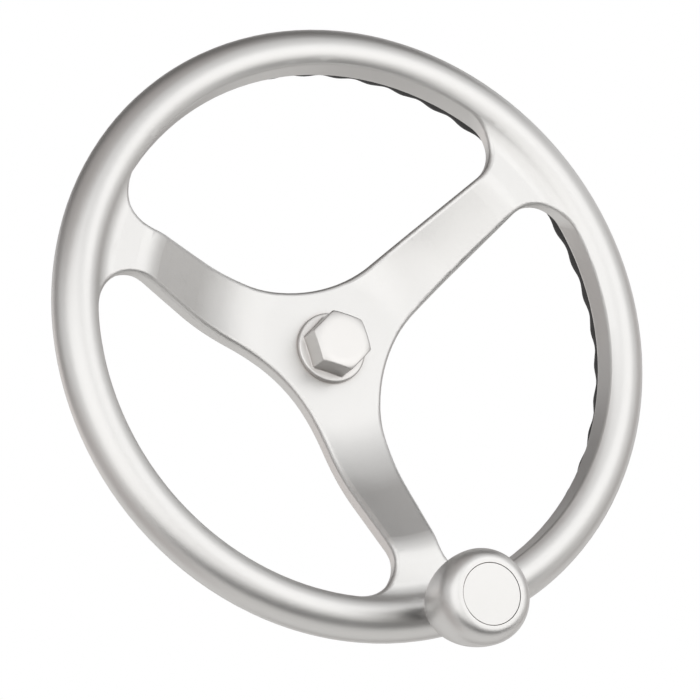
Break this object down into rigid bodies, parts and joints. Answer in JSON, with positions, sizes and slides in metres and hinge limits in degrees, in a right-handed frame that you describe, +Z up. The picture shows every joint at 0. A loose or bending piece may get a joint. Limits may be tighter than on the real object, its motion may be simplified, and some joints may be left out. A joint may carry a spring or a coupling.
{
  "type": "boat steering wheel",
  "caption": "Dished stainless steel boat steering wheel with spokes, a moulded finger grip, a capped hub nut and a free-turning spinner knob.",
  "frame": {"origin": "centre of the hub's rear face, on the shaft axis, where the helm shaft enters", "axes": "+Y along the shaft axis, out of the hub's rear toward the helm, so the wheel's front looks toward -Y; +Z up, with the knob's spoke straight down; +X to the right as seen from the front"},
  "size_m": [0.3301, 0.1317, 0.3487],
  "materials": {
    "satin_stainless": "fine satin blasted stainless steel",
    "turned_stainless": "fine turned stainless steel",
    "fastener_steel": "plain stainless fastener",
    "bearing_steel": "ground bearing steel",
    "grip_rubber": "matt moulded black rubber",
    "seal_rubber": "smooth black rubber"
  },
  "bodies": {
    "wheel": {"wheel_casting": "satin_stainless", "finger_grip": "grip_rubber", "hub_nut": "satin_stainless", "knob_stud": "turned_stainless", "stud_lock_washer": "fastener_steel", "dust_seal": "seal_rubber", "lower_inner_race": "bearing_steel", "upper_inner_race": "bearing_steel", "bearing_spacer": "fastener_steel", "retaining_washer": "fastener_steel", "retaining_screw": "fastener_steel"},
    "ball_sets": {"lower_balls": "bearing_steel", "upper_balls": "bearing_steel", "lower_cage": "bearing_steel", "upper_cage": "bearing_steel"},
    "knob": {"knob_shell": "satin_stainless", "knob_cap": "satin_stainless", "cap_seal": "seal_rubber", "lower_outer_race": "bearing_steel", "upper_outer_race": "bearing_steel", "lower_shields": "bearing_steel", "upper_shields": "bearing_steel", "base_circlip": "fastener_steel"}
  },
  "joints": [
    {"name": "knob_spin", "type": "hinge", "parent": "wheel", "child": "knob", "pos_m": [0, -0.10833, -0.15777], "axis": [0, -0.9945, -0.1045], "continuous": true},
    {"name": "ball_orbit", "type": "hinge", "parent": "wheel", "child": "ball_sets", "pos_m": [0, -0.10833, -0.15777], "axis": [0, -0.9945, -0.1045], "continuous": true}
  ],
  "couplings": [
    {"joint": "ball_orbit", "follows": "knob_spin", "ratio": 0.63222}
  ]
}
